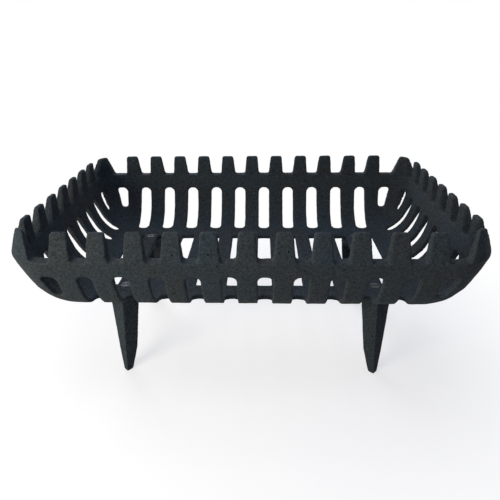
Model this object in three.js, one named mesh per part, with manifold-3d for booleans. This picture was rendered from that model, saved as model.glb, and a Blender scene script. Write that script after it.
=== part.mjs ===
// Fire basket for burning logs: a one-piece cast iron tray of open bars with a battlemented rim,
// standing on four cast legs that are screwed up to its floor.
// Millimetres, +Z up, front towards -Y, origin on the hearth under the middle of the basket.
import * as THREE from 'three';
import { mergeVertices } from 'three/addons/utils/BufferGeometryUtils.js';
import Module from 'manifold-3d';

// Layout: one bar of the casting lies under every battlement.
const BAR_PITCH = 34.5;
const FRONT_BATTLEMENTS = 11;
const SIDE_BATTLEMENTS = 7;
const END_OVERHANG = 24.5;
const FACE_OVERHANG = 17;

// Heights of the basket, from the top of the rail under the battlements.
const BATTLEMENT_HEIGHT = 26.5;
const RAIL_HEIGHT = 18;
const BASKET_DEPTH = 65.5;
const FLOOR_THICKNESS = 5.5;

// Walls: a thick rail above a thinner shell that curves in to the floor. The rail's outer face runs
// down and inwards from a ridge under the battlements, and meets the shell at its foot, which is a
// share of the way down the wall's curve. Its fullness is 0 where it is straight.
const RAIL_THICKNESS = 12.5;
const RAIL_FULLNESS = 0.8;
const RAIL_FOOT = 0.32;
const WALL_THICKNESS = 4.5;
const WALL_LEAN_AT_RAIL = 4.5;
const WALL_RUN = 53;
const WALL_STEEP_RUN = 0.11;
const WALL_STEEP_DROP = 0.63;
const WALL_FLAT_RUN = 0.34;
const RIM_CORNER_RADIUS = 42;
const WALL_CORNER_RADIUS = 23;

// Battlements: narrower and thinner at the top, so that the pattern leaves the sand.
const BATTLEMENT_BASE_WIDTH = 19.8;
const BATTLEMENT_TOP_WIDTH = 15.2;
const BATTLEMENT_TOP_THICKNESS = 4.5;
const BATTLEMENT_LEAN = 8;
const BATTLEMENT_ROUNDING = 2.5;
const CORNER_BATTLEMENT_BASE = 30;
const CORNER_BATTLEMENT_TOP = 23.5;

// Slots through the walls and the floor.
const WALL_SLOT_WIDTH = 15.2;
const WALL_SLOT_ROUNDING = 6.5;
const FRONT_SLOT_REACH = 57;
const SIDE_SLOT_REACH = 44.5;
const CORNER_SLOT_TOP_WIDTH = 17;
const CORNER_SLOT_FOOT_WIDTH = 8.5;
const CORNER_SLOT_DROP = 27;
const CORNER_SLOT_ROUNDING = 3.4;
const FLOOR_SLOT_WIDTH = 16.4;
const FLOOR_SLOT_END = 82;
const FLOOR_SLOT_ROUNDING = 3;

// Legs: tapered angle castings whose ridge faces forwards, with a flat pad on top.
const LEG_HEIGHT = 98.5;
const LEG_BAR = 4;
const LEG_RIDGE_INSET = 64;
const LEG_METAL = 4.5;
const LEG_ANKLE_HEIGHT = 25;
const PAD_THICKNESS = 5;
const PAD_DEPTH = 30;
const PAD_ROUNDING = 4;
const LEG_TOP = { outer: -18.5, ridge: 0, inner: 14 };
const LEG_ANKLE = { outer: -12, ridge: -3, inner: 6.5 };
const LEG_FOOT = { outer: -8.5, ridge: -4, inner: 0.5 };

// Fasteners: one countersunk slotted screw, washer and nut to each leg.
const SCREW_DIAMETER = 6;
const SCREW_LENGTH = 19;
const SCREW_HEAD_DIAMETER = 11.5;
const SCREW_SLOT_WIDTH = 1.6;
const SCREW_SLOT_DEPTH = 1.3;
const SCREW_RIM = 0.4;
const SCREW_SINK = 0.3;
const SCREW_BEHIND_RIDGE = 20;
const SCREW_CLEARANCE = 0.3;
const THREAD_CLEARANCE = 0.2;
const WASHER_DIAMETER = 12;
const WASHER_THICKNESS = 1.6;
const NUT_ACROSS_FLATS = 10;
const NUT_THICKNESS = 5;

// Pieces that rest on each other keep this gap.
const SEAT_GAP = 0.3;

// Modelling only: how far cutters stand clear of what they cut, where along the wall's curve the
// two cutters of one slot end and start, how full a fillet is, and how finely curves are faceted.
const CUT_MARGIN = 12;
const CUT_OVERLAP = 0.02;
const UPPER_CUT_END = 0.5;
const LOWER_CUT_START = 0.3;
const FILLET_HANDLE = 0.55;
const ROUND_STEPS = 24;
const CORNER_STEPS = 6;
const WALL_STEPS = 5;
const FILLET_STEPS = 3;

const castIron = new THREE.MeshStandardMaterial({ color: 0x2b2e30, roughness: 0.72, metalness: 0.35 });
const paintedSteel = new THREE.MeshStandardMaterial({ color: 0x26292b, roughness: 0.5, metalness: 0.6 });

// Sizes that follow from the driving ones.
const halfLength = ((FRONT_BATTLEMENTS + 1) / 2) * BAR_PITCH + END_OVERHANG;
const halfDepth = ((SIDE_BATTLEMENTS + 1) / 2) * BAR_PITCH + FACE_OVERHANG;
const floorUnderside = LEG_HEIGHT + SEAT_GAP;
const floorTop = floorUnderside + FLOOR_THICKNESS;
const railTop = floorTop + BASKET_DEPTH;
const railBottom = railTop - RAIL_HEIGHT;
const rimTop = railTop + BATTLEMENT_HEIGHT;
const wallStartInset = RAIL_THICKNESS + WALL_LEAN_AT_RAIL;
const floorInset = wallStartInset + WALL_RUN;

const wasm = await Module();
wasm.setup();

// --- solids ---

function solidFrom(geometry) {
  const bare = geometry.index ? geometry.toNonIndexed() : geometry.clone();
  bare.deleteAttribute('normal');
  bare.deleteAttribute('uv');
  const merged = mergeVertices(bare, 1e-4);
  const vertProperties = new Float32Array(merged.attributes.position.array);
  const corners = Array.from(merged.index.array);
  const triVerts = new Uint32Array(corners.filter((_, i) => {
    const [a, b, c] = corners.slice(i - (i % 3), i - (i % 3) + 3);
    return a !== b && b !== c && c !== a;
  }));
  return new wasm.Manifold(new wasm.Mesh({ numProp: 3, vertProperties, triVerts }));
}

function geometryFrom(solid) {
  const mesh = solid.getMesh();
  const geometry = new THREE.BufferGeometry();
  geometry.setAttribute('position', new THREE.Float32BufferAttribute(mesh.vertProperties, 3));
  geometry.setIndex(new THREE.Uint32BufferAttribute(mesh.triVerts, 1));
  geometry.computeVertexNormals();
  return geometry;
}

function mirrored(geometry, xSign, ySign) {
  const flat = geometry.index ? geometry.toNonIndexed() : geometry.clone();
  flat.scale(xSign, ySign, 1);
  if (xSign * ySign < 0) {
    const p = flat.attributes.position;
    for (let i = 0; i < p.count; i += 3) {
      const swap = [p.getX(i + 1), p.getY(i + 1), p.getZ(i + 1)];
      p.setXYZ(i + 1, p.getX(i + 2), p.getY(i + 2), p.getZ(i + 2));
      p.setXYZ(i + 2, ...swap);
    }
  }
  return flat;
}

// Skins a stack of rings that all have the same number of points, listed anticlockwise from above
// and from the lowest ring to the highest.
function loftGeometry(rings) {
  const count = rings[0].length;
  const points = rings.flat();
  const faces = [];
  for (let r = 0; r < rings.length - 1; r += 1) {
    for (let i = 0; i < count; i += 1) {
      const a = r * count + i;
      const b = r * count + ((i + 1) % count);
      faces.push(a, b, b + count, a, b + count, a + count);
    }
  }
  const capFaces = (ring) => {
    const outline = ring.map((p) => new THREE.Vector2(p.x, p.y));
    return THREE.ShapeUtils.triangulateShape(outline, []);
  };
  const top = (rings.length - 1) * count;
  for (const [a, b, c] of capFaces(rings[0])) {
    faces.push(c, b, a);
  }
  for (const [a, b, c] of capFaces(rings[rings.length - 1])) {
    faces.push(top + a, top + b, top + c);
  }
  const geometry = new THREE.BufferGeometry().setFromPoints(points);
  geometry.setIndex(faces);
  return geometry;
}

// A closed outline whose corners are rounded, each by its own radius.
function roundedShape(corners) {
  const shape = new THREE.Shape();
  corners.forEach(({ x, y, radius = 0 }, i) => {
    const here = new THREE.Vector2(x, y);
    const last = corners[(i + corners.length - 1) % corners.length];
    const next = corners[(i + 1) % corners.length];
    const enter = here.clone().add(new THREE.Vector2(last.x - x, last.y - y).setLength(radius));
    const leave = here.clone().add(new THREE.Vector2(next.x - x, next.y - y).setLength(radius));
    if (i === 0) {
      shape.moveTo(enter.x, enter.y);
    } else {
      shape.lineTo(enter.x, enter.y);
    }
    if (radius > 0) {
      const enterHandle = enter.clone().lerp(here, FILLET_HANDLE);
      const leaveHandle = leave.clone().lerp(here, FILLET_HANDLE);
      shape.bezierCurveTo(enterHandle.x, enterHandle.y, leaveHandle.x, leaveHandle.y, leave.x, leave.y);
    }
  });
  shape.closePath();
  return shape;
}

function extruded(shape, depth) {
  return new THREE.ExtrudeGeometry(shape, { depth, bevelEnabled: false, curveSegments: FILLET_STEPS });
}

// A cutter that runs along Y from one depth to another: the outline is drawn in X and Z.
function cutterAlongY(shape, yStart, yEnd) {
  const geometry = extruded(shape, yEnd - yStart);
  geometry.rotateX(Math.PI / 2);
  geometry.translate(0, yEnd, 0);
  return solidFrom(geometry);
}

// A cutter that stands up from one height to another: the outline is drawn in X and Y.
function cutterAlongZ(shape, zStart, zEnd) {
  const geometry = extruded(shape, zEnd - zStart);
  geometry.translate(0, 0, zStart);
  return solidFrom(geometry);
}

// --- basket ---

// Corner radius of the plan at a given distance inside the rim: wider at the battlements than below.
function cornerRadius(inset) {
  const share = THREE.MathUtils.clamp(inset / wallStartInset, 0, 1);
  return THREE.MathUtils.lerp(RIM_CORNER_RADIUS, WALL_CORNER_RADIUS, share);
}

function planRing(inset, z) {
  const radius = cornerRadius(inset);
  const x = halfLength - inset - radius;
  const y = halfDepth - inset - radius;
  const centres = [[x, y, 0], [-x, y, 1], [-x, -y, 2], [x, -y, 3]];
  const ring = [];
  for (const [cx, cy, quarter] of centres) {
    for (let i = 0; i <= CORNER_STEPS; i += 1) {
      const angle = (quarter + i / CORNER_STEPS) * (Math.PI / 2);
      ring.push(new THREE.Vector3(cx + radius * Math.cos(angle), cy + radius * Math.sin(angle), z));
    }
  }
  return ring;
}

// The wall's inner face below the rail, as distance inside the rim against height.
function innerWallCurve() {
  const steepHeight = railBottom - WALL_STEEP_DROP * (railBottom - floorTop);
  return new THREE.CubicBezierCurve(
    new THREE.Vector2(wallStartInset, railBottom),
    new THREE.Vector2(wallStartInset + WALL_STEEP_RUN * WALL_RUN, steepHeight),
    new THREE.Vector2(wallStartInset + WALL_FLAT_RUN * WALL_RUN, floorTop),
    new THREE.Vector2(floorInset, floorTop),
  );
}

function innerProfile() {
  const curve = innerWallCurve().getPoints(WALL_STEPS);
  return [
    ...curve.reverse(),
    new THREE.Vector2(RAIL_THICKNESS, railTop),
    new THREE.Vector2(BATTLEMENT_LEAN + BATTLEMENT_TOP_THICKNESS, rimTop),
  ];
}

function outerProfile() {
  const curve = innerWallCurve();
  const skin = [];
  for (let i = 0; i <= WALL_STEPS; i += 1) {
    const share = THREE.MathUtils.lerp(1, RAIL_FOOT, i / WALL_STEPS);
    const along = curve.getTangent(share);
    const outwards = new THREE.Vector2(along.y, -along.x);
    skin.push(curve.getPoint(share).addScaledVector(outwards, WALL_THICKNESS));
  }
  skin[0].y = floorUnderside;
  const foot = skin[skin.length - 1];
  const slope = curve.getTangent(RAIL_FOOT);
  const turn = foot.clone().addScaledVector(slope, (-RAIL_FULLNESS * foot.x) / slope.x);
  const rail = new THREE.QuadraticBezierCurve(foot, turn, new THREE.Vector2(0, railTop));
  return [...skin, ...rail.getPoints(FILLET_STEPS).slice(1), new THREE.Vector2(BATTLEMENT_LEAN, rimTop)];
}

// The space between two battlements, drawn in X and Z. Its sides lean apart, and its foot and the
// battlements' top corners are rounded.
function battlementGap(leftBase, leftTop, rightBase, rightTop) {
  const lip = rimTop + CUT_OVERLAP;
  const above = rimTop + CUT_MARGIN;
  const reach = BATTLEMENT_ROUNDING * 2;
  const radius = BATTLEMENT_ROUNDING;
  return [
    { x: leftBase, y: railTop, radius },
    { x: rightBase, y: railTop, radius },
    { x: rightTop, y: lip, radius },
    { x: rightTop + reach, y: lip },
    { x: rightTop + reach, y: above },
    { x: leftTop - reach, y: above },
    { x: leftTop - reach, y: lip },
    { x: leftTop, y: lip, radius },
  ];
}

// Cutters for one pair of facing walls, as if they were the front and back walls.
// halfRun is half the rim's length along them, and halfSpan half the distance between them.
function wallCutters(battlements, halfRun, halfSpan, slotReach) {
  const cutters = [];
  const reach = halfSpan + CUT_MARGIN;
  const through = (corners) => cutters.push(cutterAlongY(roundedShape(corners), -reach, reach));
  const baseHalf = BATTLEMENT_BASE_WIDTH / 2;
  const topHalf = BATTLEMENT_TOP_WIDTH / 2;
  const slotHalf = WALL_SLOT_WIDTH / 2;
  const curve = innerWallCurve();
  const split = curve.getPoint(UPPER_CUT_END).y;
  const overlap = curve.getPoint(LOWER_CUT_START).x;
  const last = (battlements - 1) / 2;

  for (let i = 0; i < battlements - 1; i += 1) {
    const left = (i - last) * BAR_PITCH;
    const right = left + BAR_PITCH;
    const centre = (left + right) / 2;
    through(battlementGap(left + baseHalf, left + topHalf, right - baseHalf, right - topHalf));
    through([
      { x: centre - slotHalf, y: split },
      { x: centre + slotHalf, y: split },
      { x: centre + slotHalf, y: railBottom, radius: WALL_SLOT_ROUNDING },
      { x: centre - slotHalf, y: railBottom, radius: WALL_SLOT_ROUNDING },
    ]);
    for (const side of [-1, 1]) {
      const outer = side * (halfSpan - overlap);
      const inner = side * (halfSpan - slotReach);
      const corners = [
        { x: centre - slotHalf, y: inner, radius: WALL_SLOT_ROUNDING },
        { x: centre + slotHalf, y: inner, radius: WALL_SLOT_ROUNDING },
        { x: centre + slotHalf, y: outer },
        { x: centre - slotHalf, y: outer },
      ];
      cutters.push(cutterAlongZ(roundedShape(side < 0 ? corners.reverse() : corners),
        floorUnderside - CUT_MARGIN, railBottom));
    }
  }

  // Next to each corner the gap reaches to the corner battlement, and the slot narrows to leave a
  // broad diagonal rib.
  const barEdge = last * BAR_PITCH + (BAR_PITCH - WALL_SLOT_WIDTH) / 2;
  const slotFoot = railBottom - CORNER_SLOT_DROP;
  const lastBar = last * BAR_PITCH;
  const cornerGap = battlementGap(
    lastBar + baseHalf,
    lastBar + topHalf,
    halfRun - CORNER_BATTLEMENT_BASE,
    halfRun - CORNER_BATTLEMENT_TOP,
  );
  const cornerSlot = [
    { x: barEdge, y: slotFoot, radius: CORNER_SLOT_ROUNDING },
    { x: barEdge + CORNER_SLOT_FOOT_WIDTH, y: slotFoot, radius: CORNER_SLOT_ROUNDING },
    { x: barEdge + CORNER_SLOT_TOP_WIDTH, y: railBottom, radius: WALL_SLOT_ROUNDING },
    { x: barEdge, y: railBottom, radius: WALL_SLOT_ROUNDING },
  ];
  for (const outline of [cornerGap, cornerSlot]) {
    through(outline);
    through(outline.map((corner) => ({ ...corner, x: -corner.x })).reverse());
  }
  return cutters;
}

function floorSlotCutters() {
  const cutters = [];
  const last = (FRONT_BATTLEMENTS - 1) / 2;
  const half = FLOOR_SLOT_WIDTH / 2;
  const end = halfDepth - FLOOR_SLOT_END;
  for (let i = 0; i < FRONT_BATTLEMENTS - 1; i += 1) {
    const centre = (i - last + 0.5) * BAR_PITCH;
    const shape = roundedShape([
      { x: centre - half, y: -end, radius: FLOOR_SLOT_ROUNDING },
      { x: centre + half, y: -end, radius: FLOOR_SLOT_ROUNDING },
      { x: centre + half, y: end, radius: FLOOR_SLOT_ROUNDING },
      { x: centre - half, y: end, radius: FLOOR_SLOT_ROUNDING },
    ]);
    cutters.push(cutterAlongZ(shape, floorUnderside - CUT_MARGIN, floorTop + CUT_MARGIN));
  }
  return cutters;
}

function makeBasket() {
  let body = solidFrom(loftGeometry(outerProfile().map((p) => planRing(p.x, p.y))));
  const hollow = innerProfile().map((p) => planRing(p.x, p.y));
  const mouth = hollow[hollow.length - 1].map((p) => new THREE.Vector3(p.x, p.y, rimTop + CUT_MARGIN));
  body = body.subtract(solidFrom(loftGeometry([...hollow, mouth])));
  for (const cutter of wallCutters(FRONT_BATTLEMENTS, halfLength, halfDepth, FRONT_SLOT_REACH)) {
    body = body.subtract(cutter);
  }
  for (const cutter of wallCutters(SIDE_BATTLEMENTS, halfDepth, halfLength, SIDE_SLOT_REACH)) {
    body = body.subtract(cutter.rotate([0, 0, 90]));
  }
  for (const cutter of floorSlotCutters()) {
    body = body.subtract(cutter);
  }
  for (const { x, screwY } of legPlaces) {
    const hole = solidFrom(turned(screwProfile(SCREW_CLEARANCE, floorTop + CUT_MARGIN)));
    body = body.subtract(hole.translate([x, screwY, 0]));
  }
  return geometryFrom(body);
}

// --- legs ---

const legPlaces = [
  { name: 'front_left', x: -LEG_BAR * BAR_PITCH, ySign: -1, xSign: -1 },
  { name: 'front_right', x: LEG_BAR * BAR_PITCH, ySign: -1, xSign: 1 },
  { name: 'back_left', x: -LEG_BAR * BAR_PITCH, ySign: 1, xSign: -1 },
  { name: 'back_right', x: LEG_BAR * BAR_PITCH, ySign: 1, xSign: 1 },
].map((leg) => ({
  ...leg,
  ridgeY: leg.ySign * (halfDepth - LEG_RIDGE_INSET),
  screwY: leg.ySign * (halfDepth - LEG_RIDGE_INSET - SCREW_BEHIND_RIDGE),
}));

// One level of the leg: two arms at a right angle, with the ridge between them facing forwards.
function legRing({ outer, ridge, inner }, z) {
  const back = LEG_METAL * Math.SQRT2;
  return [
    new THREE.Vector3(ridge, 0, z),
    new THREE.Vector3(inner, inner - ridge, z),
    new THREE.Vector3(inner, inner - ridge + back, z),
    new THREE.Vector3(ridge, back, z),
    new THREE.Vector3(outer, ridge - outer + back, z),
    new THREE.Vector3(outer, ridge - outer, z),
  ];
}

// The front left leg, with its ridge at Y = 0 and the middle of its bar at X = 0.
function makeLeg() {
  const padUnderside = LEG_HEIGHT - PAD_THICKNESS;
  const shank = loftGeometry([
    legRing(LEG_FOOT, 0),
    legRing(LEG_ANKLE, LEG_ANKLE_HEIGHT),
    legRing(LEG_TOP, padUnderside + PAD_THICKNESS / 2),
  ]);
  const pad = roundedShape([
    { x: LEG_TOP.ridge, y: 0 },
    { x: LEG_TOP.inner, y: LEG_TOP.inner - LEG_TOP.ridge },
    { x: LEG_TOP.inner, y: PAD_DEPTH, radius: PAD_ROUNDING },
    { x: LEG_TOP.outer, y: PAD_DEPTH, radius: PAD_ROUNDING },
    { x: LEG_TOP.outer, y: LEG_TOP.ridge - LEG_TOP.outer },
  ]);
  const holeProfile = [
    [0, padUnderside - CUT_MARGIN],
    [SCREW_DIAMETER / 2 + SCREW_CLEARANCE, padUnderside - CUT_MARGIN],
    [SCREW_DIAMETER / 2 + SCREW_CLEARANCE, LEG_HEIGHT + CUT_MARGIN],
    [0, LEG_HEIGHT + CUT_MARGIN],
  ];
  const hole = solidFrom(turned(holeProfile)).translate([0, SCREW_BEHIND_RIDGE, 0]);
  const leg = solidFrom(shank).add(cutterAlongZ(pad, padUnderside, LEG_HEIGHT)).subtract(hole);
  return geometryFrom(leg);
}

// --- fasteners ---

// A round piece from its half section, listed as [radius, height] from its foot upwards.
function turned(profile) {
  const halfSection = profile.map(([radius, z]) => new THREE.Vector2(radius, z));
  return new THREE.LatheGeometry(halfSection, ROUND_STEPS).rotateX(Math.PI / 2);
}

// Half section of the countersunk screw, or with a clearance, of the hole that takes it.
function screwProfile(clearance, mouth) {
  const top = floorTop - SCREW_SINK;
  const shank = SCREW_DIAMETER / 2 + clearance;
  const head = SCREW_HEAD_DIAMETER / 2 + clearance;
  const foot = top - SCREW_LENGTH - clearance;
  return [
    [0, foot],
    [shank, foot],
    [shank, top - SCREW_RIM - (head - shank)],
    [head, top - SCREW_RIM],
    [head, mouth],
    [0, mouth],
  ];
}

function makeScrew() {
  const top = floorTop - SCREW_SINK;
  const screw = solidFrom(turned(screwProfile(0, top)));
  const slot = new THREE.BoxGeometry(SCREW_HEAD_DIAMETER * 2, SCREW_SLOT_WIDTH, SCREW_SLOT_DEPTH * 2);
  slot.translate(0, 0, top);
  return geometryFrom(screw.subtract(solidFrom(slot)));
}

const washerTop = LEG_HEIGHT - PAD_THICKNESS - SEAT_GAP;
const nutTop = washerTop - WASHER_THICKNESS - SEAT_GAP;

function makeWasher() {
  const bore = SCREW_DIAMETER / 2 + SCREW_CLEARANCE;
  const edge = WASHER_DIAMETER / 2;
  return turned([
    [bore, washerTop - WASHER_THICKNESS],
    [edge, washerTop - WASHER_THICKNESS],
    [edge, washerTop],
    [bore, washerTop],
    [bore, washerTop - WASHER_THICKNESS],
  ]);
}

function makeNut() {
  const acrossCorners = NUT_ACROSS_FLATS / Math.cos(Math.PI / 6);
  const hex = new THREE.CylinderGeometry(acrossCorners / 2, acrossCorners / 2, NUT_THICKNESS, 6);
  hex.rotateX(Math.PI / 2);
  hex.translate(0, 0, nutTop - NUT_THICKNESS / 2);
  const bore = SCREW_DIAMETER / 2 + THREAD_CLEARANCE;
  const hole = turned([
    [0, nutTop - NUT_THICKNESS - CUT_MARGIN],
    [bore, nutTop - NUT_THICKNESS - CUT_MARGIN],
    [bore, nutTop + CUT_MARGIN],
    [0, nutTop + CUT_MARGIN],
  ]);
  return geometryFrom(solidFrom(hex).subtract(solidFrom(hole)));
}

// --- assembly ---

const grate = new THREE.Group();
grate.name = 'log_grate';

function addPiece(name, geometry, material, x = 0, y = 0) {
  const mesh = new THREE.Mesh(geometry, material);
  mesh.name = name;
  mesh.position.set(x, y, 0);
  grate.add(mesh);
}

addPiece('basket', makeBasket(), castIron);
for (const { name, x, xSign, ySign, ridgeY, screwY } of legPlaces) {
  addPiece(`leg_${name}`, mirrored(makeLeg(), -xSign, -ySign), castIron, x, ridgeY);
  addPiece(`leg_screw_${name}`, makeScrew(), paintedSteel, x, screwY);
  addPiece(`leg_washer_${name}`, makeWasher(), paintedSteel, x, screwY);
  addPiece(`leg_nut_${name}`, makeNut(), paintedSteel, x, screwY);
}

export default grate;
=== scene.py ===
import math

import bmesh
import bpy
from mathutils import Matrix, Vector, noise


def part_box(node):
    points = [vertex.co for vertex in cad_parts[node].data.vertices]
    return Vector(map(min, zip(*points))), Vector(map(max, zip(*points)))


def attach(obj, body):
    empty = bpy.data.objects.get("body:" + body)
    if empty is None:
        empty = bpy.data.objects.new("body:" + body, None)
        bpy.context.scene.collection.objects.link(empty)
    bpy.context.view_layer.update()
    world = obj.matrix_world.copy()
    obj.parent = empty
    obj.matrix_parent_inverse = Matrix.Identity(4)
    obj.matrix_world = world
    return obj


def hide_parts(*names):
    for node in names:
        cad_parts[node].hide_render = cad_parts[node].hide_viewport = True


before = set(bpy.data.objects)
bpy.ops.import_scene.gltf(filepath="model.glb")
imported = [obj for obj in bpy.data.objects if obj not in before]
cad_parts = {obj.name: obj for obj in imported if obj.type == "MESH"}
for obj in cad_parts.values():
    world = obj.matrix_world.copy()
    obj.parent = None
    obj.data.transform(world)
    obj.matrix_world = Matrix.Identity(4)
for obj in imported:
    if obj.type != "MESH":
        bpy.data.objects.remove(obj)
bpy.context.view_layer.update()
mm = 0.001
touching = 0.001  # corners of a shape closer than this, in mm, are one
basketLow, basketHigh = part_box("basket")
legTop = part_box("leg_front_left")[1][2]

# The casting in mm: the same sizes as the CAD basket, with finer steps round its curves.
basketSizes = {
    "pitch": 34.5, "frontMerlons": 11, "sideMerlons": 7,
    "floorThickness": 5.5, "railTopDrop": 26.5, "railBottomDrop": 44.5,  # the drops are from the rim
    "railThickness": 12.5, "wallThickness": 4.5, "wallLean": 4.5, "railFullness": 0.8, "railFoot": 0.32,
    "wallRun": 53.0, "steepRun": 0.11, "steepDrop": 0.63, "flatRun": 0.34,
    "rimCorner": 42.0, "wallCorner": 23.0,
    "merlonBase": 19.8, "merlonTop": 15.2, "merlonTip": 4.5, "merlonLean": 8.0, "merlonRound": 2.5,
    "cornerBase": 30.0, "cornerTop": 23.5,
    "slotWidth": 15.2, "slotRound": 6.5, "frontReach": 57.0, "sideReach": 44.5,
    "cornerSlotTop": 17.0, "cornerSlotFoot": 8.5, "cornerSlotDrop": 27.0, "cornerSlotRound": 3.4,
    "floorSlotWidth": 16.4, "floorSlotEnd": 82.0, "floorSlotRound": 3.0,
    "margin": 12.0, "lip": 0.02, "upperCutEnd": 0.5, "lowerCutStart": 0.3,
    "wallSteps": 18, "railSteps": 8, "cornerSteps": 18, "roundSteps": 5,
    "grain": 1.2, "softening": 1, "mostTriangles": 190000,  # voxel of the remesh, and passes of smoothing
    "coat": 0.2,  # paint, and what the smoothing takes off
    "waves": [(16.0, 0.28), (5.5, 0.16)],  # unevenness of a sand mould: wavelength and height
}
basketSizes.update({  # where the casting lies in the CAD frame
    "halfLength": basketHigh[0] / mm, "halfDepth": basketHigh[1] / mm, "rimTop": basketHigh[2] / mm,
    "railTop": basketHigh[2] / mm - basketSizes["railTopDrop"],
    "railBottom": basketHigh[2] / mm - basketSizes["railBottomDrop"],
    "floorTop": basketLow[2] / mm + basketSizes["floorThickness"],
    "floorUnderside": basketLow[2] / mm,
})

legSizes = {
    "height": legTop / mm, "bar": 4, "ridgeInset": 64.0, "metal": 4.5, "ankle": 25.0,
    "padThickness": 5.0, "padDepth": 30.0, "padRound": 4.0,
    # At each level, how far across the outer edge, the ridge and the inner edge lie.
    "top": (-18.5, 0.0, 14.0), "middle": (-12.0, -3.0, 6.5), "foot": (-8.5, -4.0, 0.5),
    "grain": 0.55, "softening": 7, "mostTriangles": 60000, "coat": 0.25,
    "waves": [(11.0, 0.2), (4.0, 0.08)],
}

# The sink is how far a head lies under the floor's face, and the rim is the head's straight edge.
screwSizes = {
    "diameter": 6.0, "length": 19.0, "head": 11.5, "rim": 0.4, "sink": 0.3,
    "behindRidge": 20.0, "clearance": 0.3, "roundSteps": 32,
}


def newObject(name, mesh):
    made = bpy.data.objects.new(name, mesh)
    bpy.context.scene.collection.objects.link(made)
    return made


def meshFrom(bm, name):
    bmesh.ops.recalc_face_normals(bm, faces=bm.faces[:])
    mesh = bpy.data.meshes.new(name)
    bm.to_mesh(mesh)
    bm.free()
    return mesh


def moveInto(target, shape):  # adds a finished shape to a bmesh that can gather several
    mesh = meshFrom(shape, "shape")
    target.from_mesh(mesh)
    bpy.data.meshes.remove(mesh)


def applyModifiers(piece):
    evaluated = piece.evaluated_get(bpy.context.evaluated_depsgraph_get())
    piece.data = bpy.data.meshes.new_from_object(evaluated)
    piece.modifiers.clear()


def combine(piece, mesh, operation):
    tool = newObject("tool", mesh)
    step = piece.modifiers.new("combine", "BOOLEAN")
    step.operation = operation
    step.solver = "MANIFOLD"
    step.object = tool
    applyModifiers(piece)
    bpy.data.objects.remove(tool)


# A straight bar of the given outline. Each corner is (across, up, rounding), and spot puts it in place.
def addBar(target, outline, start, end, spot, roundSteps):
    bar = bmesh.new()
    corners = [bar.verts.new(spot(across, up, start)) for across, up, rounding in outline]
    bar.faces.new(corners)
    for size in sorted({rounding for *_, rounding in outline if rounding}):
        rounded = [corner for corner, (*_, rounding) in zip(corners, outline) if rounding == size]
        bmesh.ops.bevel(bar, geom=rounded, offset=size, offset_type="OFFSET", segments=roundSteps,
                        profile=0.5, affect="VERTICES", clamp_overlap=True, material=-1)
    grown = bmesh.ops.extrude_face_region(bar, geom=bar.faces[:])["geom"]
    far = [v for v in grown if isinstance(v, bmesh.types.BMVert)]
    bmesh.ops.translate(bar, verts=far, vec=spot(0, 0, end) - spot(0, 0, start))
    moveInto(target, bar)


def alongY(across, up, depth):
    return Vector((across, depth, up))


def alongX(across, up, depth):
    return Vector((depth, across, up))


def upright(across, along, height):
    return Vector((across, along, height))


# A round piece from its half section of (radius, height) points, spun about an upright axis.
def addTurned(target, section, place, steps):
    turned = bmesh.new()
    points = [turned.verts.new((radius, 0, height)) for radius, height in section]
    edges = [turned.edges.new(pair) for pair in zip(points, points[1:])]
    bmesh.ops.spin(turned, geom=points + edges, cent=(0, 0, 0), axis=(0, 0, 1),
                   angle=math.tau, steps=steps, use_merge=True)
    bmesh.ops.remove_doubles(turned, verts=turned.verts[:], dist=touching)
    bmesh.ops.translate(turned, verts=turned.verts[:], vec=place)
    moveInto(target, turned)


# Where a ring of the basket's plan lies at a given inset from the rim, for one direction of its corner.
def ringSpot(side, bend, inset, height):
    s = basketSizes
    share = min(max(inset / (s["railThickness"] + s["wallLean"]), 0), 1)
    radius = s["rimCorner"] + (s["wallCorner"] - s["rimCorner"]) * share
    return Vector((
        side[0] * (s["halfLength"] - inset - radius) + bend[0] * radius,
        side[1] * (s["halfDepth"] - inset - radius) + bend[1] * radius,
        height,
    ))


# A closed bowl shape through rings at the profile's insets and heights, from the lowest up.
def bowlMesh(profile, name):
    s = basketSizes
    bowl = bmesh.new()
    bmesh.ops.create_grid(bowl, x_segments=1, y_segments=1, size=1)
    bmesh.ops.scale(bowl, verts=bowl.verts[:], vec=(s["halfLength"], s["halfDepth"], 1))
    bmesh.ops.bevel(bowl, geom=bowl.verts[:], offset=s["rimCorner"], offset_type="OFFSET",
                    segments=s["cornerSteps"], profile=0.5, affect="VERTICES", material=-1)
    sideLayer = bowl.verts.layers.float_vector.new("side")
    bendLayer = bowl.verts.layers.float_vector.new("bend")
    for v in bowl.verts:
        side = Vector((math.copysign(1, v.co.x), math.copysign(1, v.co.y), 0))
        centre = Vector((
            side.x * (s["halfLength"] - s["rimCorner"]), side.y * (s["halfDepth"] - s["rimCorner"]), 0))
        v[sideLayer] = side
        v[bendLayer] = (v.co - centre).normalized()
    ring = bowl.edges[:]
    verts = bowl.verts[:]
    for level, (inset, height) in enumerate(profile):
        if level:
            grown = bmesh.ops.extrude_edge_only(bowl, edges=ring)["geom"]
            ring = [g for g in grown if isinstance(g, bmesh.types.BMEdge)]
            verts = [g for g in grown if isinstance(g, bmesh.types.BMVert)]
        for v in verts:
            v.co = ringSpot(v[sideLayer], v[bendLayer], inset, height)
    bmesh.ops.contextual_create(bowl, geom=ring)
    return meshFrom(bowl, name)


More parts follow.
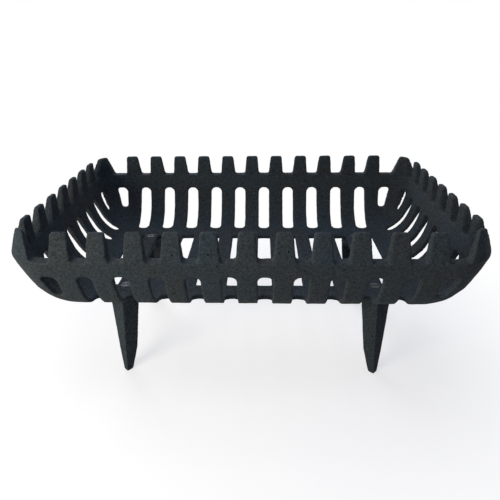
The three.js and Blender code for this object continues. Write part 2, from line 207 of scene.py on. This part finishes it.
# The wall's inner face runs from the rail, at a share of 0, to the floor, at 1. This gives the
# (inset, height) there and the way the face runs on.
def wallSpot(share):
    s = basketSizes
    start = s["railThickness"] + s["wallLean"]
    drop = s["railBottom"] - s["floorTop"]
    knots = [
        Vector((start, s["railBottom"])),
        Vector((start + s["steepRun"] * s["wallRun"], s["railBottom"] - s["steepDrop"] * drop)),
        Vector((start + s["flatRun"] * s["wallRun"], s["floorTop"])),
        Vector((start + s["wallRun"], s["floorTop"])),
    ]
    while len(knots) > 2:
        knots = [a.lerp(b, share) for a, b in zip(knots, knots[1:])]
    return knots[0].lerp(knots[1], share), (knots[1] - knots[0]).normalized()


def innerProfile():
    s = basketSizes
    rim = s["merlonLean"] + s["merlonTip"]
    walls = [tuple(wallSpot(1 - i / s["wallSteps"])[0]) for i in range(s["wallSteps"] + 1)]
    above = s["rimTop"] + s["margin"]
    return walls + [(s["railThickness"], s["railTop"]), (rim, s["rimTop"]), (rim, above)]


# From the floor up the shell to the rail's foot, and on round the rail's face to its ridge.
def outerProfile():
    s = basketSizes
    skin = []
    for i in range(s["wallSteps"] + 1):
        point, along = wallSpot(1 + (s["railFoot"] - 1) * i / s["wallSteps"])
        skin.append(point + Vector((along.y, -along.x)) * s["wallThickness"])
    skin[0].y = s["floorUnderside"]
    foot = skin[-1]
    turn = foot - along * (s["railFullness"] * foot.x / along.x)
    ridge = Vector((0, s["railTop"]))
    for i in range(1, s["railSteps"] + 1):
        share = i / s["railSteps"]
        skin.append(foot.lerp(turn, share).lerp(turn.lerp(ridge, share), share))
    return [tuple(p) for p in skin] + [(s["merlonLean"], s["rimTop"])]


# The gap between two merlons: it widens upwards, and its lip rounds the merlons' top corners.
def gapOutline(leftBase, leftTop, rightBase, rightTop):
    s = basketSizes
    size = s["merlonRound"]
    past = 2 * size  # how far the lip runs on over a merlon's top
    lip = s["rimTop"] + s["lip"]
    above = s["rimTop"] + s["margin"]
    return [
        (leftBase, s["railTop"], size), (rightBase, s["railTop"], size),
        (rightTop, lip, size), (rightTop + past, lip, 0), (rightTop + past, above, 0),
        (leftTop - past, above, 0), (leftTop - past, lip, 0), (leftTop, lip, size),
    ]


# Where the gaps between a wall's merlons lie along it.
def gapCentres(merlons):
    return [(i - (merlons - 1) / 2 + 0.5) * basketSizes["pitch"] for i in range(merlons - 1)]


# What is cut straight through a pair of facing walls: merlon gaps, slots and the corner slots.
def wallTool(merlons, halfRun, halfSpan, spot):
    s = basketSizes
    tool = bmesh.new()
    last = (merlons - 1) / 2
    baseHalf, topHalf, slotHalf = s["merlonBase"] / 2, s["merlonTop"] / 2, s["slotWidth"] / 2
    reach = halfSpan + s["margin"]
    split = wallSpot(s["upperCutEnd"])[0].y
    outlines = []
    for i in range(merlons - 1):
        left = (i - last) * s["pitch"]
        right = left + s["pitch"]
        centre = (left + right) / 2
        outlines.append(gapOutline(left + baseHalf, left + topHalf, right - baseHalf, right - topHalf))
        outlines.append([
            (centre - slotHalf, split, 0), (centre + slotHalf, split, 0),
            (centre + slotHalf, s["railBottom"], s["slotRound"]),
            (centre - slotHalf, s["railBottom"], s["slotRound"]),
        ])
    lastBar = last * s["pitch"]
    barEdge = lastBar + (s["pitch"] - s["slotWidth"]) / 2
    foot = s["railBottom"] - s["cornerSlotDrop"]
    corner = [
        gapOutline(lastBar + baseHalf, lastBar + topHalf,
                   halfRun - s["cornerBase"], halfRun - s["cornerTop"]),
        [
            (barEdge, foot, s["cornerSlotRound"]),
            (barEdge + s["cornerSlotFoot"], foot, s["cornerSlotRound"]),
            (barEdge + s["cornerSlotTop"], s["railBottom"], s["slotRound"]),
            (barEdge, s["railBottom"], s["slotRound"]),
        ],
    ]
    for outline in corner:
        outlines.append(outline)
        outlines.append([(-across, up, rounding) for across, up, rounding in reversed(outline)])
    for outline in outlines:
        addBar(tool, outline, -reach, reach, spot, s["roundSteps"])
    return meshFrom(tool, "wallTool")


# What is cut straight down: the feet of the wall slots, and the slots of the floor.
def floorTool():
    s = basketSizes
    tool = bmesh.new()
    low = s["floorUnderside"] - s["margin"]
    outerInset = wallSpot(s["lowerCutStart"])[0].x
    walls = (
        (s["frontMerlons"], s["halfDepth"], s["frontReach"], False),
        (s["sideMerlons"], s["halfLength"], s["sideReach"], True),
    )
    half = s["slotWidth"] / 2
    for merlons, halfSpan, reach, turned in walls:
        for centre in gapCentres(merlons):
            for side in (-1, 1):
                outer, inner = side * (halfSpan - outerInset), side * (halfSpan - reach)
                outline = [(centre - half, inner, s["slotRound"]), (centre + half, inner, s["slotRound"]),
                           (centre + half, outer, 0), (centre - half, outer, 0)]
                if turned:
                    outline = [(y, x, rounding) for x, y, rounding in outline]
                addBar(tool, outline, low, s["railBottom"], upright, s["roundSteps"])
    half = s["floorSlotWidth"] / 2
    end = s["halfDepth"] - s["floorSlotEnd"]
    for centre in gapCentres(s["frontMerlons"]):
        outline = [(centre + x * half, y * end, s["floorSlotRound"])
                   for x, y in ((-1, -1), (1, -1), (1, 1), (-1, 1))]
        addBar(tool, outline, low, s["floorTop"] + s["margin"], upright, s["roundSteps"])
    return meshFrom(tool, "floorTool")


def legPlaces():
    s = legSizes
    x = s["bar"] * basketSizes["pitch"]
    y = basketSizes["halfDepth"] - s["ridgeInset"]
    return [
        ("front_left", -1, -1, x, y), ("front_right", 1, -1, x, y),
        ("back_left", -1, 1, x, y), ("back_right", 1, 1, x, y),
    ]


def holeTool():
    s = screwSizes
    tool = bmesh.new()
    top = basketSizes["floorTop"] - s["sink"]
    shank = s["diameter"] / 2 + s["clearance"]
    head = s["head"] / 2 + s["clearance"]
    low, high = top - s["length"], basketSizes["floorTop"] + basketSizes["margin"]
    section = [(0, low), (shank, low), (shank, top - s["rim"] - (head - shank)),
               (head, top - s["rim"]), (head, high), (0, high)]
    for _, xSide, ySide, x, y in legPlaces():
        place = (xSide * x, ySide * (y - s["behindRidge"]), 0)
        addTurned(tool, section, place, s["roundSteps"])
    return meshFrom(tool, "holeTool")


# Turns sharp solids into one skin with soft cast edges and the slight unevenness of a sand mould.
def castSkin(piece, sizes):
    remesh = piece.modifiers.new("remesh", "REMESH")
    remesh.mode = "VOXEL"
    remesh.voxel_size = sizes["grain"]
    applyModifiers(piece)
    skin = bmesh.new()
    skin.from_mesh(piece.data)
    for _ in range(sizes["softening"]):
        bmesh.ops.smooth_vert(skin, verts=skin.verts[:], factor=0.5,
                              use_axis_x=True, use_axis_y=True, use_axis_z=True)
    skin.normal_update()
    for v in skin.verts:
        swell = sum(noise.noise(v.co / length) * height for length, height in sizes["waves"])
        v.co += v.normal * (sizes["coat"] + swell)
    bmesh.ops.scale(skin, verts=skin.verts[:], vec=(mm, mm, mm))
    for face in skin.faces:
        face.smooth = True
    piece.data = meshFrom(skin, piece.name)  # a fresh mesh, without the tools' empty material slots
    triangles = 2 * len(piece.data.polygons)
    if triangles > sizes["mostTriangles"]:
        thin = piece.modifiers.new("thin", "DECIMATE")
        thin.ratio = sizes["mostTriangles"] / triangles
        applyModifiers(piece)


def makeBasket():
    s = basketSizes
    basket = newObject("fire_basket", bowlMesh(outerProfile(), "basketOutside"))
    combine(basket, bowlMesh(innerProfile(), "basketInside"), "DIFFERENCE")
    combine(basket, wallTool(s["frontMerlons"], s["halfLength"], s["halfDepth"], alongY), "DIFFERENCE")
    combine(basket, wallTool(s["sideMerlons"], s["halfDepth"], s["halfLength"], alongX), "DIFFERENCE")
    combine(basket, floorTool(), "DIFFERENCE")
    combine(basket, holeTool(), "DIFFERENCE")
    castSkin(basket, s)
    return basket


# One level of a leg's angle section, whose ridge faces forwards.
def legLevel(level, height):
    outer, ridge, inner = level
    back = legSizes["metal"] * math.sqrt(2)
    return [
        Vector((ridge, 0, height)), Vector((inner, inner - ridge, height)),
        Vector((inner, inner - ridge + back, height)), Vector((ridge, back, height)),
        Vector((outer, ridge - outer + back, height)), Vector((outer, ridge - outer, height)),
    ]


def makeLeg(name, xSide, ySide, x, y):
    s = legSizes
    padLow = s["height"] - s["padThickness"]
    levels = [(s["foot"], 0), (s["middle"], s["ankle"]), (s["top"], padLow + s["padThickness"] / 2)]
    shank = bmesh.new()  # drawn up from the foot through the levels, into the pad
    verts = [shank.verts.new(p) for p in legLevel(*levels[0])]
    face = shank.faces.new(verts)
    ring = list(face.edges)
    for level in levels[1:]:
        pairs = dict(zip(verts, legLevel(*level)))
        grown = bmesh.ops.extrude_edge_only(shank, edges=ring)["geom"]
        ring = [g for g in grown if isinstance(g, bmesh.types.BMEdge)]
        raised = []
        for v in verts:  # the new corner above each old one is the other end of its upright edge
            fresh = next(e.other_vert(v) for e in v.link_edges if e.other_vert(v) in grown)
            fresh.co = pairs[v]
            raised.append(fresh)
        verts = raised
    bmesh.ops.contextual_create(shank, geom=ring)
    leg = newObject("leg_casting_" + name, meshFrom(shank, "shank"))
    outer, ridge, inner = s["top"]
    pad = bmesh.new()
    outline = [(ridge, 0, 0), (inner, inner - ridge, 0), (inner, s["padDepth"], s["padRound"]),
               (outer, s["padDepth"], s["padRound"]), (outer, ridge - outer, 0)]
    addBar(pad, outline, padLow, s["height"], upright, basketSizes["roundSteps"])
    combine(leg, meshFrom(pad, "pad"), "UNION")
    hole = bmesh.new()
    shankRadius = screwSizes["diameter"] / 2 + screwSizes["clearance"]
    low, high = padLow - basketSizes["margin"], s["height"] + basketSizes["margin"]
    section = [(0, low), (shankRadius, low), (shankRadius, high), (0, high)]
    addTurned(hole, section, (0, screwSizes["behindRidge"], 0), screwSizes["roundSteps"])
    combine(leg, meshFrom(hole, "hole"), "DIFFERENCE")
    placed = bmesh.new()  # turned so that its ridge faces out to the front or the back
    placed.from_mesh(leg.data)
    bmesh.ops.scale(placed, verts=placed.verts[:], vec=(-xSide, -ySide, 1))
    bmesh.ops.translate(placed, verts=placed.verts[:], vec=(xSide * x, ySide * y, 0))
    leg.data = meshFrom(placed, "leg")
    castSkin(leg, s)
    return leg


def linearColour(hexText):  # the standard sRGB curve
    channels = [int(hexText[i:i + 2], 16) / 255 for i in (1, 3, 5)]
    linear = [c / 12.92 if c <= 0.04045 else ((c + 0.055) / 1.055) ** 2.4 for c in channels]
    return (*linear, 1.0)


def perMetre(size):  # the scale of a pattern whose features are this many mm apart
    return 1 / (size * mm)


def addNode(tree, kind, inputs, **settings):
    node = tree.nodes.new(kind)
    for name, value in settings.items():
        setattr(node, name, value)
    for socket, value in inputs.items():
        if isinstance(value, bpy.types.NodeSocket):
            tree.links.new(value, node.inputs[socket])
        else:
            node.inputs[socket].default_value = value
    return node


def blankMaterial(name):
    material = bpy.data.materials.new(name)
    material.use_nodes = True
    material.node_tree.nodes.clear()
    return material


# Grey iron from a green sand mould under a thin coat of matt black grate paint: the grains of the
# sand give it a fine rough grain, burst gas bubbles leave dark pits, and its convex edges are lighter,
# partly where the paint wears thin and partly as a painted highlight along the bevels.
castIronLook = {
    "paint": "#394246", "weathered": "#3c4040", "pit": "#14171b", "edge": "#565c5e",
    "grainSize": 2.2,  # real sand is 0.3 mm; drawn coarser, so that it shows in the render
    "darkGrain": 0.6, "paleGrain": 1.4, "grainLow": 0.3, "grainHigh": 0.7,
    "lumpSize": 7.0, "cloudSize": 60.0, "cloudLow": 0.35, "cloudHigh": 0.65,
    "pitSpacing": 8.0, "pitRadius": 0.08, "pitted": 0.7,
    # The pale edge colour is partly paint worn thin and partly a painted highlight along the bevels.
    "edgeStart": 0.52, "edgeFull": 0.6, "edgeWearAndHighlight": 0.5,  # start and full are Pointiness values
    "grainHeight": 0.5, "lumpHeight": 0.8, "roughest": 0.9, "smoothest": 0.75, "specular": 0.08,
}

# Mild steel under the same paint, machined first, so it is smoother and a little glossier.
steelLook = {
    "paint": "#2f3335", "worn": "#565957", "grainSize": 0.9, "cloudSize": 9.0, "grainHeight": 0.05,
    "wearStart": 0.5, "wearFull": 0.72, "mostWear": 0.6,
    "smoothest": 0.42, "roughest": 0.62, "specular": 0.4,
}


def sandCastIron():
    look = castIronLook
    material = blankMaterial("sandCastIronBlackPaint")
    tree = material.node_tree
    spot = addNode(tree, "ShaderNodeTexCoord", {}).outputs["Object"]
    grain = addNode(tree, "ShaderNodeTexNoise", {
        "Vector": spot, "Scale": perMetre(look["grainSize"]), "Detail": 3.0, "Roughness": 0.6})
    lumps = addNode(tree, "ShaderNodeTexNoise", {
        "Vector": spot, "Scale": perMetre(look["lumpSize"]), "Detail": 2.0, "Roughness": 0.5})
    clouds = addNode(tree, "ShaderNodeTexNoise", {
        "Vector": spot, "Scale": perMetre(look["cloudSize"]), "Detail": 3.0, "Roughness": 0.55})
    cells = addNode(tree, "ShaderNodeTexVoronoi", {"Vector": spot, "Scale": perMetre(look["pitSpacing"])})
    hole = addNode(tree, "ShaderNodeMapRange", {
        "Value": cells.outputs["Distance"], "From Min": look["pitRadius"], "From Max": look["pitRadius"] * 2,
        "To Min": 1.0, "To Max": 0.0}, interpolation_type="SMOOTHSTEP")
    chosen = addNode(tree, "ShaderNodeMath", {
        0: cells.outputs["Color"], 1: look["pitted"]}, operation="GREATER_THAN")
    pit = addNode(tree, "ShaderNodeMath", {
        0: hole.outputs["Result"], 1: chosen.outputs[0]}, operation="MULTIPLY")
    # Convex edges, found by Pointiness, turn lighter: partly worn paint, partly a painted highlight on the
    # bevels.
    edge = addNode(tree, "ShaderNodeMapRange", {
        "Value": addNode(tree, "ShaderNodeNewGeometry", {}).outputs["Pointiness"],
        "From Min": look["edgeStart"], "From Max": look["edgeFull"],
        "To Min": 0.0, "To Max": look["edgeWearAndHighlight"]})
    weather = addNode(tree, "ShaderNodeMapRange", {
        "Value": clouds.outputs["Fac"], "From Min": look["cloudLow"], "From Max": look["cloudHigh"]})
    base = addNode(tree, "ShaderNodeMix", {
        0: weather.outputs["Result"], 6: linearColour(look["paint"]),
        7: linearColour(look["weathered"])}, data_type="RGBA")
    # The base colour with its edges lightened: worn paint and a painted highlight together.
    worn = addNode(tree, "ShaderNodeMix", {
        0: edge.outputs["Result"], 6: base.outputs[2], 7: linearColour(look["edge"])}, data_type="RGBA")
    shade = addNode(tree, "ShaderNodeMapRange", {
        "Value": grain.outputs["Fac"], "From Min": look["grainLow"], "From Max": look["grainHigh"],
        "To Min": look["darkGrain"], "To Max": look["paleGrain"]})
    mottled = addNode(tree, "ShaderNodeVectorMath", {
        0: worn.outputs[2], "Scale": shade.outputs["Result"]}, operation="SCALE")
    colour = addNode(tree, "ShaderNodeMix", {
        0: pit.outputs[0], 6: mottled.outputs["Vector"],
        7: linearColour(look["pit"])}, data_type="RGBA")
    lumpBump = addNode(tree, "ShaderNodeBump", {
        "Height": lumps.outputs["Fac"], "Strength": 1.0, "Distance": look["lumpHeight"] * mm})
    grainBump = addNode(tree, "ShaderNodeBump", {
        "Height": grain.outputs["Fac"], "Normal": lumpBump.outputs["Normal"],
        "Strength": 1.0, "Distance": look["grainHeight"] * mm})
    pitBump = addNode(tree, "ShaderNodeBump", {
        "Height": pit.outputs[0], "Normal": grainBump.outputs["Normal"],
        "Strength": 1.0, "Distance": look["grainHeight"] * mm}, invert=True)
    roughness = addNode(tree, "ShaderNodeMapRange", {
        "Value": grain.outputs["Fac"], "From Min": look["grainLow"], "From Max": look["grainHigh"],
        "To Min": look["roughest"], "To Max": look["smoothest"]})
    shader = addNode(tree, "ShaderNodeBsdfPrincipled", {
        "Base Color": colour.outputs[2], "Roughness": roughness.outputs["Result"],
        "Specular IOR Level": look["specular"], "Normal": pitBump.outputs["Normal"]})
    addNode(tree, "ShaderNodeOutputMaterial", {"Surface": shader.outputs["BSDF"]})
    return material


def paintedSteel():
    look = steelLook
    material = blankMaterial("mildSteelBlackPaint")
    tree = material.node_tree
    spot = addNode(tree, "ShaderNodeTexCoord", {}).outputs["Object"]
    grain = addNode(tree, "ShaderNodeTexNoise", {
        "Vector": spot, "Scale": perMetre(look["grainSize"]), "Detail": 2.0})
    clouds = addNode(tree, "ShaderNodeTexNoise", {
        "Vector": spot, "Scale": perMetre(look["cloudSize"]), "Detail": 3.0})
    wear = addNode(tree, "ShaderNodeMapRange", {
        "Value": clouds.outputs["Fac"], "From Min": look["wearStart"], "From Max": look["wearFull"],
        "To Min": 0.0, "To Max": look["mostWear"]})
    colour = addNode(tree, "ShaderNodeMix", {
        0: wear.outputs["Result"], 6: linearColour(look["paint"]),
        7: linearColour(look["worn"])}, data_type="RGBA")
    roughness = addNode(tree, "ShaderNodeMapRange", {
        "Value": grain.outputs["Fac"], "To Min": look["smoothest"], "To Max": look["roughest"]})
    bump = addNode(tree, "ShaderNodeBump", {
        "Height": grain.outputs["Fac"], "Strength": 1.0, "Distance": look["grainHeight"] * mm})
    shader = addNode(tree, "ShaderNodeBsdfPrincipled", {
        "Base Color": colour.outputs[2], "Roughness": roughness.outputs["Result"],
        "Specular IOR Level": look["specular"], "Normal": bump.outputs["Normal"]})
    addNode(tree, "ShaderNodeOutputMaterial", {"Surface": shader.outputs["BSDF"]})
    return material


iron = sandCastIron()
steel = paintedSteel()
print("materials made")

fireBasket = makeBasket()
fireBasket.data.materials.append(iron)
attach(fireBasket, "root")
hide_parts("basket")
print("basket cast:", len(fireBasket.data.polygons), "faces")

for place in legPlaces():
    leg = makeLeg(*place)
    leg.data.materials.append(iron)
    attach(leg, "root")
    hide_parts("leg_" + place[0])
    print("leg cast:", place[0], len(leg.data.polygons), "faces")

# The screws, washers and nuts keep their CAD solids, with their edges broken by a small bevel.
fastenerEdges = {"weld": 0.01, "bevel": 0.25, "segments": 2, "sharpAngle": 40}  # mm and degrees
for name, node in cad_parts.items():
    if "screw" in name or "washer" in name or "nut" in name:
        node.data.materials.clear()
        node.data.materials.append(steel)
        weld = node.modifiers.new("weld", "WELD")
        weld.merge_threshold = fastenerEdges["weld"] * mm
        bevel = node.modifiers.new("bevel", "BEVEL")
        bevel.width = fastenerEdges["bevel"] * mm
        bevel.segments = fastenerEdges["segments"]
        bevel.limit_method = "ANGLE"
        bevel.angle_limit = math.radians(fastenerEdges["sharpAngle"])
print("fasteners finished")

# The camera of the photograph, in mm and radians, with the focal length and lens axis in its pixels.
cameraFit = {
    "place": (12.6, -563.9, 366.7), "yaw": -0.0399, "pitch": 0.4168, "roll": -0.0138,
    "focal": 502.05, "axisX": 242.23, "axisY": 248.07, "imageSize": 500, "sensor": 36.0,
}


def makeCamera():
    c = cameraFit
    yaw, pitch, roll = c["yaw"], c["pitch"], c["roll"]
    forward = Vector((
        math.sin(yaw) * math.cos(pitch), math.cos(yaw) * math.cos(pitch), -math.sin(pitch)))
    level = Vector((math.cos(yaw), -math.sin(yaw), 0))
    rise = level.cross(forward)
    right = level * math.cos(roll) + rise * math.sin(roll)
    up = rise * math.cos(roll) - level * math.sin(roll)
    data = bpy.data.cameras.new("photoCamera")
    data.sensor_width = c["sensor"]
    data.lens = c["focal"] / c["imageSize"] * c["sensor"]
    data.shift_x = (c["imageSize"] / 2 - c["axisX"]) / c["imageSize"]
    data.shift_y = (c["axisY"] - c["imageSize"] / 2) / c["imageSize"]
    camera = newObject("photoCamera", data)
    turn = Matrix((right, up, -forward)).transposed().to_4x4()
    camera.matrix_world = Matrix.Translation(Vector(c["place"]) * mm) @ turn
    bpy.context.scene.camera = camera


# A soft box stands close on the left, so that its light falls off along the grate. Larger ones hang
# above and stand behind, farther off. The floor fades to plain white where the grate's shadow ends.
# In metres and watts.
studio = {
    "floorSize": 8.0, "floorColour": "#d4d0c8", "floorGlow": 0.63, "fadeStart": 0.2, "fadeEnd": 0.45,
    "fillColour": "#90a6dc", "fillStrength": 0.27,
    "softBox": {"place": (-0.54, -0.64, 0.32), "size": 0.4, "power": 3.8, "colour": "#fff8ec"},
    "overhead": {"place": (0.0, -0.10, 1.3), "size": 1.0, "power": 3.6, "colour": "#f2f5ff"},
    "backLight": {"place": (-0.50, 0.95, 0.60), "size": 0.7, "power": 6.0, "colour": "#eef2ff"},
    "aim": (0.0, 0.0, 0.12),
}


# 1 for the rays that show the backdrop: seen directly, in a gloss or through glass.
def backdropRays(tree):
    ray = addNode(tree, "ShaderNodeLightPath", {})
    seen = addNode(tree, "ShaderNodeMath", {
        0: ray.outputs["Is Camera Ray"], 1: ray.outputs["Is Glossy Ray"]}, operation="MAXIMUM")
    shown = addNode(tree, "ShaderNodeMath", {
        0: seen.outputs[0], 1: ray.outputs["Is Transmission Ray"]}, operation="MAXIMUM")
    return shown.outputs[0]


def makeFloor():
    s = studio
    ground = bmesh.new()
    bmesh.ops.create_grid(ground, x_segments=1, y_segments=1, size=s["floorSize"])
    floor = newObject("floor", meshFrom(ground, "floor"))
    material = blankMaterial("whitePaperFloor")
    tree = material.node_tree
    shown = backdropRays(tree)
    spot = addNode(tree, "ShaderNodeTexCoord", {}).outputs["Object"]
    away = addNode(tree, "ShaderNodeVectorMath", {0: spot}, operation="LENGTH")
    fade = addNode(tree, "ShaderNodeMapRange", {
        "Value": away.outputs["Value"], "From Min": s["fadeStart"], "From Max": s["fadeEnd"]},
        interpolation_type="SMOOTHSTEP")
    blank = addNode(tree, "ShaderNodeMath", {0: fade.outputs["Result"], 1: shown}, operation="MULTIPLY")
    glow = addNode(tree, "ShaderNodeMath", {0: shown, 1: s["floorGlow"]}, operation="MULTIPLY")
    paper = addNode(tree, "ShaderNodeBsdfDiffuse", {"Color": linearColour(s["floorColour"])})
    light = addNode(tree, "ShaderNodeEmission", {"Color": (1, 1, 1, 1), "Strength": glow.outputs[0]})
    near = addNode(tree, "ShaderNodeAddShader", {0: paper.outputs[0], 1: light.outputs[0]})
    far = addNode(tree, "ShaderNodeEmission", {"Color": (1, 1, 1, 1), "Strength": 1.0})
    whole = addNode(tree, "ShaderNodeMixShader", {
        0: blank.outputs[0], 1: near.outputs[0], 2: far.outputs[0]})
    below = addNode(tree, "ShaderNodeNewGeometry", {}).outputs["Backfacing"]
    clear = addNode(tree, "ShaderNodeBsdfTransparent", {})  # from below, the floor lets the grate show
    surface = addNode(tree, "ShaderNodeMixShader", {0: below, 1: whole.outputs[0], 2: clear.outputs[0]})
    addNode(tree, "ShaderNodeOutputMaterial", {"Surface": surface.outputs[0]})
    floor.data.materials.append(material)


def makeWorld():
    s = studio
    world = bpy.data.worlds.new("softStudio")
    bpy.context.scene.world = world
    world.use_nodes = True
    tree = world.node_tree
    tree.nodes.clear()
    fill = addNode(tree, "ShaderNodeBackground", {
        "Color": linearColour(s["fillColour"]), "Strength": s["fillStrength"]})
    white = addNode(tree, "ShaderNodeBackground", {"Color": (1, 1, 1, 1), "Strength": 1.0})
    mixed = addNode(tree, "ShaderNodeMixShader", {
        0: backdropRays(tree), 1: fill.outputs[0], 2: white.outputs[0]})
    addNode(tree, "ShaderNodeOutputWorld", {"Surface": mixed.outputs[0]})


def makeLamp(name):
    lamp = studio[name]
    data = bpy.data.lights.new(name, "AREA")
    data.shape = "SQUARE"
    data.size = lamp["size"]
    data.energy = lamp["power"]
    data.color = linearColour(lamp["colour"])[:3]
    light = newObject(name, data)
    light.location = lamp["place"]
    light.visible_camera = False
    way = Vector(studio["aim"]) - Vector(lamp["place"])
    light.rotation_euler = way.to_track_quat("-Z", "Y").to_euler()


makeCamera()
makeFloor()
makeWorld()
for lampName in ("softBox", "overhead", "backLight"):
    makeLamp(lampName)
bpy.context.scene.view_settings.view_transform = "Standard"
print("camera and studio set")
